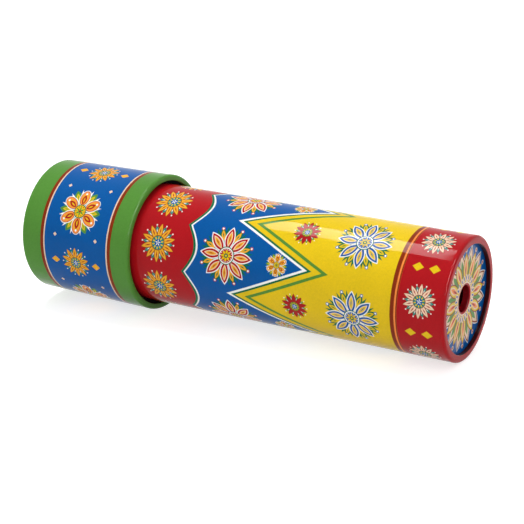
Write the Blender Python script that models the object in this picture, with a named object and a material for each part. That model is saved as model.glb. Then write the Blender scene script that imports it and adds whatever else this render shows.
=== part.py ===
"""Tin toy kaleidoscope lying on its side.

A printed tin barrel holds an eyepiece and a prism of three mirrors. A turning cap on its far end
carries a clear case of loose chips behind a frosted pane. X runs along the axis from the cap to the
eyepiece, +Z is up, z = 0 is the underside of the cap's mouth, and lengths are in metres.
"""

import math

import bmesh
import bpy
from mathutils import Matrix, Vector

# Overall sizes
OVERALL_LENGTH = 0.194
BARREL_DIAMETER = 0.050
CAP_LENGTH = 0.0552
CAP_STEP = 0.0041
CAP_TAPER = 0.0007
TIN_WALL = 0.0003

# Rolled rims of the tin shells
EYE_RIM_WIDTH = 0.0034
EYE_LIP_DEPTH = 0.0017
EYE_EDGE_ROUND = 0.0007
MOUTH_RIM_WIDTH = 0.0025
MOUTH_LIP_DEPTH = 0.0016
END_RIM_WIDTH = 0.0026
END_LIP_DEPTH = 0.0018
CAP_EDGE_ROUND = 0.0009
LIP_ROUND = 0.0005

# Eyepiece
PEEPHOLE_DIAMETER = 0.0105
PEEPHOLE_LIP_DEPTH = 0.0028
PEEPHOLE_ROUND = 0.0007
EYEPIECE_SKIRT = 0.0014
WINDOW_THICKNESS = 0.0010

# Mirror prism
MIRROR_THICKNESS = 0.0012
WRAP_THICKNESS = 0.0008
WRAP_CORNER_WIDTH = 0.0040
WASHER_THICKNESS = 0.0015
BARREL_PANE_THICKNESS = 0.0010
SNAP_RING_LENGTH = 0.0012
SNAP_RING_WIDTH = 0.0014

# Rings on which the cap turns
RETAINING_RING_LENGTH = 0.0036
BEARING_RING_LENGTH = 0.0060
RING_EDGE_CHAMFER = 0.0004

# Object case in the cap
FROSTED_PANE_THICKNESS = 0.0012
CASE_LENGTH = 0.0110
CASE_WALL = 0.0012
CASE_RING_LENGTH = 0.0020
CASE_RING_WIDTH = 0.0034

# Loose chips and beads
CHIP_RADIUS = 0.0036
CHIP_THICKNESS = 0.0014
BEAD_RADIUS = 0.0014
CHIP_TILT = math.radians(11.0)
CHIP_ROW_COUNT = 3
CHIPS_IN_ROW_COUNT = 8
KIND_SHIFT_COUNT = 3
ROW_SHIFT_COUNT = 2
STAR_WAIST_SHARE = 0.45
SHARD_TIP_SHARE = 0.55

# Clearances
SEAT_GAP = 0.0003
RUNNING_GAP = 0.0004
WELD_DISTANCE = 0.000001

# Facets
ROUND_SIDES = 48
ROUNDING_STEPS = 2
BEAD_DIVISIONS = 2

# Radii that follow from those sizes
BARREL_RADIUS = BARREL_DIAMETER / 2
BORE_RADIUS = BARREL_RADIUS - TIN_WALL
FITTED_RADIUS = BORE_RADIUS - SEAT_GAP
CAP_MOUTH_RADIUS = BARREL_RADIUS + CAP_STEP
CAP_END_RADIUS = CAP_MOUTH_RADIUS - CAP_TAPER
AXIS_HEIGHT = CAP_MOUTH_RADIUS

# Stations along the axis, counted from the face of the eyepiece rim towards the cap
CAP_MOUTH_STATION = OVERALL_LENGTH - CAP_LENGTH
FROSTED_STATION = OVERALL_LENGTH - END_LIP_DEPTH - SEAT_GAP - FROSTED_PANE_THICKNESS
CASE_STATION = FROSTED_STATION - SEAT_GAP - CASE_LENGTH
CASE_RING_STATION = CASE_STATION - SEAT_GAP - CASE_RING_LENGTH
BARREL_LENGTH = CASE_RING_STATION - RUNNING_GAP
EYEPIECE_STATION = EYE_LIP_DEPTH + SEAT_GAP
WINDOW_STATION = EYEPIECE_STATION + PEEPHOLE_LIP_DEPTH + SEAT_GAP
EYE_WASHER_STATION = WINDOW_STATION + WINDOW_THICKNESS + SEAT_GAP
MIRROR_STATION = EYE_WASHER_STATION + WASHER_THICKNESS + SEAT_GAP
SNAP_RING_STATION = BARREL_LENGTH - SNAP_RING_LENGTH
BARREL_PANE_STATION = SNAP_RING_STATION - SEAT_GAP - BARREL_PANE_THICKNESS
FAR_WASHER_STATION = BARREL_PANE_STATION - SEAT_GAP - WASHER_THICKNESS
MIRROR_LENGTH = FAR_WASHER_STATION - SEAT_GAP - MIRROR_STATION
RETAINING_RING_STATION = CAP_MOUTH_STATION + MOUTH_LIP_DEPTH + RUNNING_GAP
BEARING_RING_STATION = BARREL_LENGTH - BEARING_RING_LENGTH

# Section of the mirror prism: the wrap's folded corners reach the bore
WRAP_CORNER_RADIUS = FITTED_RADIUS
WRAP_CLIP_DISTANCE = math.sqrt(WRAP_CORNER_RADIUS ** 2 - (WRAP_CORNER_WIDTH / 2) ** 2)
WRAP_APOTHEM = (WRAP_CLIP_DISTANCE * math.cos(math.radians(60))
                + WRAP_CORNER_WIDTH / 2 * math.sin(math.radians(60)))
MIRROR_BACK = WRAP_APOTHEM - WRAP_THICKNESS - SEAT_GAP
MIRROR_FACE = MIRROR_BACK - MIRROR_THICKNESS
MIRROR_HALF_WIDTH = min(
    MIRROR_FACE * math.tan(math.radians(60)) - SEAT_GAP,
    (WRAP_CLIP_DISTANCE - WRAP_THICKNESS - SEAT_GAP - MIRROR_BACK * math.cos(math.radians(60)))
    / math.sin(math.radians(60)))


def cap_radius(station):
    """Outer radius of the slightly tapered cap at a station."""
    share = (station - CAP_MOUTH_STATION) / CAP_LENGTH
    return CAP_MOUTH_RADIUS - share * CAP_TAPER


def cap_bore(station):
    """Inner radius of the cap at a station."""
    return cap_radius(station) - TIN_WALL


def clear_scene():
    """Remove every object of the open scene."""
    for obj in list(bpy.data.objects):
        bpy.data.objects.remove(obj, do_unlink=True)


def make_material(name, colour, roughness, metallic=0.0, alpha=1.0):
    """Principled material of one colour."""
    material = bpy.data.materials.new(name)
    material.use_nodes = True
    shader = material.node_tree.nodes["Principled BSDF"]
    shader.inputs["Base Color"].default_value = (*colour, 1.0)
    shader.inputs["Roughness"].default_value = roughness
    shader.inputs["Metallic"].default_value = metallic
    shader.inputs["Alpha"].default_value = alpha
    return material


def make_axis(name, parent=None):
    """Empty on the axis of the tube, which carries the pieces that turn together."""
    empty = bpy.data.objects.new(name, None)
    bpy.context.collection.objects.link(empty)
    if parent is None:
        empty.location.z = AXIS_HEIGHT
    else:
        empty.parent = parent
    return empty


def add_object(name, bm, material, parent, station, turn=0.0):
    """Make an object of a mesh whose origin lies on the axis, and set it at its station."""
    bmesh.ops.recalc_face_normals(bm, faces=bm.faces)
    mesh = bpy.data.meshes.new(name)
    bm.to_mesh(mesh)
    bm.free()
    mesh.materials.append(material)
    obj = bpy.data.objects.new(name, mesh)
    bpy.context.collection.objects.link(obj)
    obj.parent = parent
    obj.location.x = OVERALL_LENGTH / 2 - station
    obj.rotation_euler.x = turn
    mesh.shade_smooth()
    mesh.set_sharp_from_angle(angle=math.radians(30))
    return obj


def add_turned(name, profile, material, parent, station):
    """Spin a profile of (depth, radius) points round the axis.

    Depth runs from the piece's own eyepiece side towards the cap. The flats of the facets lie at the
    named radius, and one of them is at the bottom. A profile that starts and ends on the axis makes a
    disc, and any other is closed into a ring.
    """
    half_side = math.pi / ROUND_SIDES
    corner = 1 / math.cos(half_side)
    bm = bmesh.new()
    ring = []
    for depth, radius in profile:
        reach = radius * corner
        ring.append(bm.verts.new((-depth, reach * math.sin(half_side), -reach * math.cos(half_side))))
    edges = [bm.edges.new(pair) for pair in zip(ring, ring[1:])]
    if profile[0][1] > 0:
        edges.append(bm.edges.new((ring[-1], ring[0])))
    bmesh.ops.spin(bm, geom=ring + edges, cent=(0, 0, 0), axis=(1, 0, 0), angle=math.tau,
                   steps=ROUND_SIDES, use_merge=True)
    bmesh.ops.remove_doubles(bm, verts=bm.verts, dist=WELD_DISTANCE)
    return add_object(name, bm, material, parent, station)


def quarter(centre_depth, centre_radius, size, from_angle, to_angle):
    """Points of a quarter round. Angle 0 points away from the axis, and 90 towards the eyepiece."""
    points = []
    for step in range(ROUNDING_STEPS + 1):
        angle = math.radians(from_angle + (to_angle - from_angle) * step / ROUNDING_STEPS)
        points.append((centre_depth - size * math.sin(angle), centre_radius + size * math.cos(angle)))
    return points


def rolled_rim(wall_radius, rim_width, lip_depth, edge_round):
    """Outer and inner skin of a shell edge that turns in to a lip, both from the wall to the lip.

    The rim's flat face is at depth 0, and the shell runs on to greater depths.
    """
    lip_radius = wall_radius - rim_width
    outer = quarter(edge_round, wall_radius - edge_round, edge_round, 0, 90)
    outer += quarter(LIP_ROUND, lip_radius + LIP_ROUND, LIP_ROUND, 90, 180)
    outer.append((lip_depth, lip_radius))
    inner = quarter(edge_round, wall_radius - edge_round, edge_round - TIN_WALL, 0, 90)
    inner += quarter(LIP_ROUND, lip_radius + LIP_ROUND, LIP_ROUND - TIN_WALL, 90, 180)
    inner.append((lip_depth, lip_radius + TIN_WALL))
    return outer, inner


def disc_profile(radius, thickness):
    """Profile of a plain disc."""
    return [(0, 0), (0, radius), (thickness, radius), (thickness, 0)]


def ring_profile(inner, outer, length, chamfer=0):
    """Profile of a ring, with its outer edges broken by a chamfer where one is given."""
    if chamfer == 0:
        return [(0, inner), (0, outer), (length, outer), (length, inner)]
    return [(0, inner), (0, outer - chamfer), (chamfer, outer), (length - chamfer, outer),
            (length, outer - chamfer), (length, inner)]


def clipped_triangle(apothem, clip_distance):
    """Corners of a triangle with one side at the bottom and its three points cut off square."""
    half_clip = (apothem - clip_distance * math.cos(math.radians(60))) / math.sin(math.radians(60))
    points = []
    for point_angle in (-30, 90, 210):
        along = Vector((math.cos(math.radians(point_angle)), math.sin(math.radians(point_angle))))
        across = Vector((-along.y, along.x))
        points.append(along * clip_distance - across * half_clip)
        points.append(along * clip_distance + across * half_clip)
    return points


def round_outline(radius):
    """Corners of a round with its flats at the named radius."""
    reach = radius / math.cos(math.pi / ROUND_SIDES)
    angles = [math.tau * (side + 1 / 2) / ROUND_SIDES for side in range(ROUND_SIDES)]
    return [Vector((reach * math.cos(angle), reach * math.sin(angle))) for angle in angles]


def loop_edges(bm, outline):
    """Closed loop of edges through (y, z) points at depth 0."""
    ring = [bm.verts.new((0, point.x, point.y)) for point in outline]
    return [bm.edges.new(pair) for pair in zip(ring, ring[1:] + ring[:1])]


def add_framed_plate(name, outer, hole, depth, material, parent, station):
    """Plate or tube between an outer outline and a hole, pushed back along the axis."""
    bm = bmesh.new()
    edges = loop_edges(bm, outer) + loop_edges(bm, hole)
    bmesh.ops.triangle_fill(bm, edges=edges, use_beauty=True)
    grown = bmesh.ops.extrude_face_region(bm, geom=list(bm.faces))
    moved = [item for item in grown["geom"] if isinstance(item, bmesh.types.BMVert)]
    bmesh.ops.translate(bm, verts=moved, vec=(-depth, 0, 0))
    return add_object(name, bm, material, parent, station)


def add_mirror(name, turn, material, parent):
    """Mirror strip whose bright face looks at the axis, turned about it to its side of the prism."""
    bm = bmesh.new()
    size = Matrix.Diagonal((MIRROR_LENGTH, 2 * MIRROR_HALF_WIDTH, MIRROR_THICKNESS, 1))
    place = Matrix.Translation((-MIRROR_LENGTH / 2, 0, -(MIRROR_FACE + MIRROR_THICKNESS / 2)))
    bmesh.ops.create_cube(bm, size=1, matrix=place @ size)
    return add_object(name, bm, material, parent, MIRROR_STATION, turn)


def pile(radii, cavity):
    """Lowest resting places, one after another, of round pieces in a round cavity."""
    placed = []
    for size in radii:
        circles = [((0, 0), cavity - size)] + [(spot, other + size) for spot, other in placed]
        spots = [(0, -(cavity - size))]
        for index, first in enumerate(circles):
            for second in circles[index + 1:]:
                spots += crossings(first, second)
        free = [spot for spot in spots if is_free(spot, size, placed, cavity)]
        placed.append((min(free, key=lambda spot: (round(spot[1], 6), spot[0])), size))
    return [spot for spot, size in placed]


def crossings(first, second):
    """Points where two circles cross."""
    (first_y, first_z), first_radius = first
    (second_y, second_z), second_radius = second
    gap = math.hypot(second_y - first_y, second_z - first_z)
    if gap < WELD_DISTANCE or gap > first_radius + second_radius:
        return []
    along = (gap ** 2 + first_radius ** 2 - second_radius ** 2) / (2 * gap)
    square = first_radius ** 2 - along ** 2
    if square < 0:
        return []
    across = math.sqrt(square)
    unit_y, unit_z = (second_y - first_y) / gap, (second_z - first_z) / gap
    middle_y, middle_z = first_y + along * unit_y, first_z + along * unit_z
    return [(middle_y - across * unit_z, middle_z + across * unit_y),
            (middle_y + across * unit_z, middle_z - across * unit_y)]


def is_free(spot, size, placed, cavity):
    """True where a round piece fits in the cavity clear of those already placed."""
    if math.hypot(*spot) + size > cavity + WELD_DISTANCE:
        return False
    return all(math.dist(spot, other) > size + reach - WELD_DISTANCE for other, reach in placed)


def chip_outline(corners, waist_share=1.0):
    """Regular outline, or a star with its waists at a share of the tips' radius."""
    points = []
    for corner in range(corners):
        angle = math.tau * corner / corners
        points.append(Vector((math.cos(angle), math.sin(angle))) * CHIP_RADIUS)
        if waist_share < 1:
            angle += math.pi / corners
            points.append(Vector((math.cos(angle), math.sin(angle))) * CHIP_RADIUS * waist_share)
    return points


def shard_outline():
    """Long leaf-shaped splinter with blunted sides."""
    side = CHIP_RADIUS * SHARD_TIP_SHARE
    half = side / 2
    points = [(CHIP_RADIUS, 0), (half, half), (-half, half), (-CHIP_RADIUS, 0), (-half, -half), (half, -half)]
    return [Vector(point) for point in points]


def chip_mesh(name, outline, material):
    """Mesh shared by the chips of one kind: a flat chip of an outline, or a bead where there is none."""
    bm = bmesh.new()
    if outline is None:
        bmesh.ops.create_icosphere(bm, subdivisions=BEAD_DIVISIONS, radius=BEAD_RADIUS)
    else:
        face = bm.faces.new([bm.verts.new((-CHIP_THICKNESS / 2, point.x, point.y)) for point in outline])
        grown = bmesh.ops.extrude_face_region(bm, geom=[face])
        moved = [item for item in grown["geom"] if isinstance(item, bmesh.types.BMVert)]
        bmesh.ops.translate(bm, verts=moved, vec=(CHIP_THICKNESS, 0, 0))
    bmesh.ops.recalc_face_normals(bm, faces=bm.faces)
    mesh = bpy.data.meshes.new(name)
    bm.to_mesh(mesh)
    bm.free()
    mesh.materials.append(material)
    if outline is None:
        mesh.shade_smooth()
    return mesh


def build_barrel(axis):
    """Tin tube with its rolled eyepiece rim, and the two rings on it that guide the cap."""
    outer, inner = rolled_rim(BARREL_RADIUS, EYE_RIM_WIDTH, EYE_LIP_DEPTH, EYE_EDGE_ROUND)
    profile = [(BARREL_LENGTH, BARREL_RADIUS)] + outer + inner[::-1] + [(BARREL_LENGTH, BORE_RADIUS)]
    print_blue = make_material("printed_tin_blue", (0.01, 0.11, 0.42), 0.18)
    add_turned("barrel_tube", profile, print_blue, axis, 0)
    black = make_material("black_plastic", (0.02, 0.02, 0.02), 0.45)
    seat = BARREL_RADIUS + SEAT_GAP
    for name, station, length in (
            ("cap_retaining_ring", RETAINING_RING_STATION, RETAINING_RING_LENGTH),
            ("cap_bearing_ring", BEARING_RING_STATION, BEARING_RING_LENGTH)):
        reach = cap_bore(station + length) - RUNNING_GAP
        add_turned(name, ring_profile(seat, reach, length, RING_EDGE_CHAMFER), black, axis, station)


def build_eyepiece(axis):
    """Printed tin disc, turned in at its rim and its peephole, and the clear window behind it."""
    hole = PEEPHOLE_DIAMETER / 2
    skirt_end = TIN_WALL + EYEPIECE_SKIRT
    skirt_bore = FITTED_RADIUS - TIN_WALL
    lip = PEEPHOLE_ROUND
    profile = [(PEEPHOLE_LIP_DEPTH, hole)] + quarter(lip, hole + lip, lip, 180, 90)
    profile += [(0, FITTED_RADIUS), (skirt_end, FITTED_RADIUS), (skirt_end, skirt_bore), (TIN_WALL, skirt_bore)]
    profile += quarter(lip, hole + lip, lip - TIN_WALL, 90, 180) + [(PEEPHOLE_LIP_DEPTH, hole + TIN_WALL)]
    print_yellow = make_material("printed_tin_yellow", (0.80, 0.50, 0.06), 0.22)
    add_turned("eyepiece_disc", profile, print_yellow, axis, EYEPIECE_STATION)
    clear = make_material("clear_plastic", (0.92, 0.95, 0.96), 0.05, alpha=0.3)
    window = disc_profile(FITTED_RADIUS, WINDOW_THICKNESS)
    add_turned("eyepiece_window", window, clear, axis, WINDOW_STATION)
    return clear


def build_mirrors(axis, clear):
    """Three mirror strips in a card wrap, between two card washers, closed by a pane and a snap ring."""
    card = make_material("grey_card", (0.42, 0.36, 0.28), 0.9)
    steel = make_material("spring_steel", (0.62, 0.62, 0.62), 0.3, metallic=1.0)
    mirror = make_material("mirror_glass", (0.92, 0.93, 0.94), 0.03, metallic=1.0)
    for name, turn in (("mirror_bottom", 0), ("mirror_left", 240), ("mirror_right", 120)):
        add_mirror(name, math.radians(turn), mirror, axis)
    outside = clipped_triangle(WRAP_APOTHEM, WRAP_CLIP_DISTANCE)
    inside = clipped_triangle(WRAP_APOTHEM - WRAP_THICKNESS, WRAP_CLIP_DISTANCE - WRAP_THICKNESS)
    add_framed_plate("mirror_card_wrap", outside, inside, MIRROR_LENGTH, card, axis, MIRROR_STATION)
    view = clipped_triangle(MIRROR_FACE, 2 * MIRROR_FACE - WRAP_CORNER_WIDTH)
    for name, station in (("mirror_washer_eye", EYE_WASHER_STATION),
                          ("mirror_washer_far", FAR_WASHER_STATION)):
        add_framed_plate(name, round_outline(FITTED_RADIUS), view, WASHER_THICKNESS, card, axis, station)
    pane = disc_profile(FITTED_RADIUS, BARREL_PANE_THICKNESS)
    add_turned("barrel_end_pane", pane, clear, axis, BARREL_PANE_STATION)
    snap = ring_profile(FITTED_RADIUS - SNAP_RING_WIDTH, FITTED_RADIUS, SNAP_RING_LENGTH)
    add_turned("barrel_snap_ring", snap, steel, axis, SNAP_RING_STATION)


def build_cap(axis, clear):
    """Tapered tin cap with two rolled rims, and the clear case and frosted pane that it carries."""
    mouth_outer, mouth_inner = rolled_rim(CAP_MOUTH_RADIUS, MOUTH_RIM_WIDTH, MOUTH_LIP_DEPTH, CAP_EDGE_ROUND)
    end_outer, end_inner = rolled_rim(CAP_END_RADIUS, END_RIM_WIDTH, END_LIP_DEPTH, CAP_EDGE_ROUND)
    from_mouth = mouth_outer + mouth_inner[::-1]
    from_end = [(CAP_LENGTH - depth, radius) for depth, radius in end_inner + end_outer[::-1]]
    print_green = make_material("printed_tin_green", (0.09, 0.35, 0.03), 0.18)
    add_turned("cap_shell", from_mouth + from_end, print_green, axis, CAP_MOUTH_STATION)
    fitted = cap_bore(OVERALL_LENGTH) - SEAT_GAP
    cup = [(0, 0), (0, fitted), (CASE_LENGTH, fitted), (CASE_LENGTH, fitted - CASE_WALL),
           (CASE_WALL, fitted - CASE_WALL), (CASE_WALL, 0)]
    add_turned("chip_case", cup, clear, axis, CASE_STATION)
    frosted = make_material("frosted_plastic", (0.88, 0.90, 0.90), 0.65, alpha=0.6)
    pane = disc_profile(fitted, FROSTED_PANE_THICKNESS)
    add_turned("frosted_end_pane", pane, frosted, axis, FROSTED_STATION)
    black = make_material("case_ring_black", (0.03, 0.03, 0.03), 0.5)
    reach = cap_bore(CASE_STATION) - SEAT_GAP
    keeper = ring_profile(reach - CASE_RING_WIDTH, reach, CASE_RING_LENGTH)
    add_turned("case_keeper_ring", keeper, black, axis, CASE_RING_STATION)


def build_chips(axis):
    """Loose chips and beads, each an object, piled in rows between the case's base and the frosted pane.

    Each chip has a corner towards the case's wall and leans a little to one side or the other.
    """
    kinds = [
        ("chip_red", chip_outline(3), (0.75, 0.02, 0.03)),
        ("chip_yellow", chip_outline(5, STAR_WAIST_SHARE), (0.90, 0.62, 0.02)),
        ("chip_blue", chip_outline(4), (0.02, 0.12, 0.65)),
        ("chip_green", chip_outline(6), (0.03, 0.45, 0.08)),
        ("chip_orange", chip_outline(12), (0.90, 0.22, 0.02)),
        ("chip_purple", shard_outline(), (0.28, 0.04, 0.45)),
        ("bead_clear", None, (0.90, 0.92, 0.95)),
    ]
    meshes = []
    for name, outline, tint in kinds:
        size = CHIP_RADIUS if outline else BEAD_RADIUS
        mesh = chip_mesh(name, outline, make_material(name + "_plastic", tint, 0.15))
        meshes.append((name, mesh, size + SEAT_GAP / 2))
    counts = dict.fromkeys([name for name, mesh, size in meshes], 0)
    row_depth = (CASE_LENGTH - CASE_WALL) / CHIP_ROW_COUNT
    cavity = cap_bore(OVERALL_LENGTH) - SEAT_GAP - CASE_WALL - SEAT_GAP / 2
    for row in range(CHIP_ROW_COUNT):
        shifts = [KIND_SHIFT_COUNT * index + ROW_SHIFT_COUNT * row for index in range(CHIPS_IN_ROW_COUNT)]
        order = [meshes[shift % len(meshes)] for shift in shifts]
        station = CASE_STATION + CASE_WALL + row_depth * (row + 1 / 2)
        spots = pile([size for name, mesh, size in order], cavity)
        for index, ((name, mesh, size), (across, up)) in enumerate(zip(order, spots)):
            counts[name] += 1
            chip = bpy.data.objects.new(f"{name}_{counts[name]}", mesh)
            bpy.context.collection.objects.link(chip)
            chip.parent = axis
            chip.location = (OVERALL_LENGTH / 2 - station, across, up)
            chip.rotation_euler = (math.atan2(up, across), CHIP_TILT * (-1) ** index, 0)


def main():
    clear_scene()
    barrel_axis = make_axis("barrel_axis")
    cap_axis = make_axis("cap_axis", barrel_axis)
    chips_axis = make_axis("chips_axis", barrel_axis)
    build_barrel(barrel_axis)
    clear = build_eyepiece(barrel_axis)
    build_mirrors(barrel_axis, clear)
    build_cap(cap_axis, clear)
    build_chips(chips_axis)


main()
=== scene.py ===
"""Looks of a printed tin kaleidoscope: turned tin with its litho print, mirrors, rings, panes and chips.

Sizes are in millimetres unless they say otherwise. Outlines are pairs of a station and a radius. A station is
counted from the face of the eyepiece rim towards the cap, and a radius from the tube's axis. An angle round
the tube is 0 at the side towards -Y and 90 degrees at the top.
"""

import math

import bmesh
import bpy
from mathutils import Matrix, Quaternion, Vector


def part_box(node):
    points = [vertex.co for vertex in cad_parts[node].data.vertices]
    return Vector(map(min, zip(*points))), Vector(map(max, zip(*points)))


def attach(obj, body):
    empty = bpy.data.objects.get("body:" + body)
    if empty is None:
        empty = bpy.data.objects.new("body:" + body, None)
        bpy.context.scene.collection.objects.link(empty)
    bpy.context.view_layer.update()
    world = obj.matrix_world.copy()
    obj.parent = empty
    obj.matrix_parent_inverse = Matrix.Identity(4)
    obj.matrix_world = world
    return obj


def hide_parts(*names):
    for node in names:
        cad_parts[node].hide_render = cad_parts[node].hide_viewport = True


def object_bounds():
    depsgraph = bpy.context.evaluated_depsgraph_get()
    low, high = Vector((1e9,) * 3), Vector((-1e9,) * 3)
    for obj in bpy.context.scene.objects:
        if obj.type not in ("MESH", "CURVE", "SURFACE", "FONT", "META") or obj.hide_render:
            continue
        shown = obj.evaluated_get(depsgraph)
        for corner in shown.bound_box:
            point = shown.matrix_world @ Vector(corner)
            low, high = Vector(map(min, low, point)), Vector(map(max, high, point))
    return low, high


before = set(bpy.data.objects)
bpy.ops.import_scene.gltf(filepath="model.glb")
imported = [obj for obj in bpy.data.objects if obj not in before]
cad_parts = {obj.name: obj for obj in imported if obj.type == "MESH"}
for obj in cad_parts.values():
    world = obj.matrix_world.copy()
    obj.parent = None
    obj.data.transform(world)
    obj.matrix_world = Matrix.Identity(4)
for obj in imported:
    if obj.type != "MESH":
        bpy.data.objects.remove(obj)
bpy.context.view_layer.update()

MM = 0.001

# Sizes that the frame gives
EYE_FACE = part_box("barrel_tube")[1][0]
AXIS_HEIGHT = (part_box("barrel_tube")[0][2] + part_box("barrel_tube")[1][2]) / 2


def stations(node):
    """Where a node starts and ends along the axis."""
    low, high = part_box(node)
    return (EYE_FACE - high[0]) / MM, (EYE_FACE - low[0]) / MM


def outer_radius(node):
    """Largest radius of a turned node."""
    low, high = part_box(node)
    return (high[2] - low[2]) / 2 / MM


BARREL_RADIUS = outer_radius("barrel_tube")
BARREL_END = stations("barrel_tube")[1]
CAP_MOUTH, CAP_END = stations("cap_shell")
CAP_MOUTH_RADIUS = outer_radius("cap_shell")
CAP_TAPER = 0.7
CAP_END_RADIUS = CAP_MOUTH_RADIUS - CAP_TAPER

# Tin, its rolled rims and the eyepiece disc
TIN = 0.3
EYE_RIM_WIDTH = 3.4
EYE_LIP_DEPTH = 1.7
EYE_EDGE_ROUND = 1.2
MOUTH_RIM_WIDTH = 2.5
MOUTH_LIP_DEPTH = 1.6
END_RIM_WIDTH = 2.6
END_LIP_DEPTH = 1.8
CAP_EDGE_ROUND = 1.2
LIP_ROUND = 0.5
PEEPHOLE_RADIUS = 5.25
PEEPHOLE_LIP = 0.7
DISC_SKIRT = 1.7
DISC_BEND = 0.7

# Folded seams at the back. Angles are in degrees
BARREL_SEAM = 214.0
CAP_SEAM = 196.0
SEAM_WIDTH = 4.2
SEAM_STEP = 0.3
SEAM_DEPTH = 0.14
SEAM_FADE = 3.0

# Rings, panes, cup, mirrors and chips. The facing is a cosine, and the share is of a bead's width
SNAP_RING_WIDTH = 1.4
SNAP_RING_GAP = 7.0
SNAP_WIRE_ROUND = 0.45
RING_ROUND = 0.4
PANE_ROUND = 0.2
KEEPER_WIDTH = 3.4
CUP_WALL = 1.2
CUP_CORNER = 1.0
CUP_CORNER_INSIDE = 0.6
MIRROR_BEVEL = 0.15
MIRROR_FACING = 0.9
CHIP_BEVEL = 0.18
BEAD_HOLE = 0.38
BEAD_LENGTH_SHARE = 0.86

# Fineness of the meshes
TURN_STEPS = 240
ARC_STEPS = 6
WIRE_ARC_STEPS = 3
BEVEL_STEPS = 3
BEAD_STEPS_AROUND = 32
BEAD_STEPS_ACROSS = 16
LOOP_STEP = 6.0
EDGE_LOOP = 0.2
SHARP_ANGLE = math.radians(38)
FLAT_ANGLE = math.radians(2)
BEVEL_ANGLE = math.radians(20)
WELD = 0.001

# Bands of the print, as first and last stations, and its thin lines, as stations and widths
RED_BAND = (-1.0, 19.0)
RUST_BAND = (19.0, 21.9)
PINSTRIPE = (19.9, 0.75)
CAP_BLUE = (149.65, 181.65)
CAP_LINES = ((148.25, 1.6), (149.35, 0.6), (181.95, 0.6), (183.05, 1.6))

# Darts and scallops of the barrel. The inner line is how far it lies behind a dart's edge, and its half width
DART_COUNT = 5
DART_ANGLE = 56.0
DART_BASE = 56.0
DART_LENGTH = 34.0
DART_GREEN_EDGE = 0.8
DART_WHITE_EDGE = 1.7
DART_INNER_LINE = (2.4, 0.6)
FIELD_ANGLE = DART_ANGLE - 180 / DART_COUNT
SCALLOP_COUNT = 8
SCALLOP_STATION = 115.0
SCALLOP_DEPTH = 5.0
SCALLOP_GREEN_EDGE = 1.1
SCALLOP_WHITE_EDGE = 1.9

# Flowers and diamonds of the red band and of the cap. A diamond is a half length and a half width
END_FLOWER_COUNT = 6
END_FLOWER_ANGLE = 12.0
END_FLOWER_STATION = 10.2
END_DIAMOND_OFFSET = 3.4
END_DIAMOND = (2.3, 1.8)
CAP_FLOWER_COUNT = 4
CAP_FLOWER_ANGLE = 34.0
CAP_DIAMOND_OFFSET = 10.5
CAP_DIAMOND = (2.1, 1.6)
CAP_SPECK = (0.9, 0.9)

# Softness of a printed edge, and how far the ink wanders along the tin and as a share of a turn round it
INK_EDGE = 0.09
INK_WANDER = 0.11
INK_DRIFT = 0.0006

# Thin lacquer over the print, from clean to smudged, and how far the print has rubbed off at the rims
LACQUER_IOR = 1.16
LACQUER_ROUGHNESS = (0.03, 0.08)
LACQUER_WAVE = 0.06
GRAIN_AMOUNT = 0.3
RUB_WIDTH = 0.5
RUB_AMOUNT = 0.25
RUB_ROUGHNESS = 0.2
BARREL_RUBS = (0.2,)
CAP_RUBS = (CAP_MOUTH + 0.3, CAP_END - 0.3)

# Camera, as fitted to the outlines in the photograph. Its place is in metres
LENS = 101.07
SENSOR = 36.0
CAMERA_AZIMUTH = math.radians(29.925)
CAMERA_ELEVATION = math.radians(19.215)
CAMERA_PLACE = (0.2909, -0.4958, 0.2278)

# Floor, in metres, and how bright the surroundings are: 1 is white
FLOOR_SIZE = 8.0
FLOOR_GLOW = 0.7
FLOOR_ROUGHNESS = 0.9
WORLD_LIGHT = 0.66

# Lamps: name, place, point that it shines at, width and depth in metres, power in watts, roll in degrees, and
# the rays that it leaves out. Sheen lamps only show in the lacquer, and softboxes only light the surfaces
LAMPS = (
    ("overhead_sheen", (-0.40, 0.12, 1.03), (-0.40, 0.12, 0.0), (0.23, 0.44), 6.0, 0.0, "diffuse"),
    ("overhead_softbox", (-0.40, 0.12, 1.25), (-0.2, 0.06, 0.0), (0.3, 0.6), 9.6, 0.0, "glossy"),
    ("side_sheen", (0.64, -0.47, 0.79), (0, 0, 0.03), (0.3, 1.2), 37.0, -29.0, "diffuse"),
    ("side_softbox", (0.96, -0.7, 1.18), (0, 0, 0.03), (0.7, 1.1), 1.6, 0.0, "glossy"),
    ("camera_fill", (0.7, -1.4, 0.13), (0, 0, 0.03), (1.4, 0.24), 4.6, 0.0, "glossy"),
)


def ink(red, green, blue):
    """Colour of an ink from its 0 to 255 values on screen, as Blender wants it."""
    shares = [value / 255 for value in (red, green, blue)]
    linear = [share / 12.92 if share <= 0.04045 else ((share + 0.055) / 1.055) ** 2.4
              for share in shares]
    return (*linear, 1.0)


def tinted(colour, factor, lift=0.0):
    """A colour made darker or paler by a factor, and lifted by a little grey."""
    return tuple(min(1.0, value * factor + lift) for value in colour[:3]) + (1.0,)


# Inks of the print, painted shade for the eyepiece lip and the peephole, bare tin, and the whites of the
# stage
RED = ink(172, 18, 26)
YELLOW = ink(225, 191, 24)
BLUE = ink(0, 84, 156)
GREEN = ink(82, 138, 54)
DEEP_GREEN = ink(10, 104, 66)
ORANGE = ink(240, 138, 64)
GOLD = ink(232, 168, 44)
RUST = ink(132, 44, 12)
CREAM = ink(236, 206, 176)
WHITE = ink(240, 240, 236)
TEAL = ink(16, 128, 116)
# Painted shade: dark ink for the inner wall of the eyepiece rim's lip, where shade falls
LIP_SHADE_INK = ink(52, 8, 14)
# Painted shade: dark red for the inner wall of the peephole's collar
PEEPHOLE_SHADE_INK = ink(112, 10, 18)
BARE_TIN = ink(206, 204, 198)
PURE_WHITE = (1.0, 1.0, 1.0, 1.0)
FLOOR_COLOUR = ink(208, 208, 208)

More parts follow.
